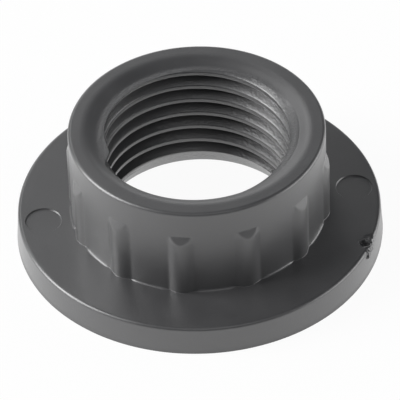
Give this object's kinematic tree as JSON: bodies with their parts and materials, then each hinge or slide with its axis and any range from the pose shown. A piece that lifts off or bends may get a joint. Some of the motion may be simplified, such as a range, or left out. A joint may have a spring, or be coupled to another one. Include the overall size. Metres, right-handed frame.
{
  "type": "thermowell nut",
  "caption": "Moulded plastic flanged nut: a flat round flange, a collar with half-round grip ribs, and a right-hand pipe-threaded bore through both.",
  "frame": {"origin": "centre of the seat face, on the thread axis, where the flange meets the wall that it clamps", "axes": "+Z along the thread axis, from the flange towards the collar's open end; +X towards the right of the picture, with one ejector mark 6 degrees from it"},
  "size_m": [0.038, 0.038, 0.0136],
  "materials": {
    "black_plastic": "satin moulded, dark grey"
  },
  "bodies": {
    "root": {"thermowell_nut": "black_plastic"}
  },
  "joints": []
}
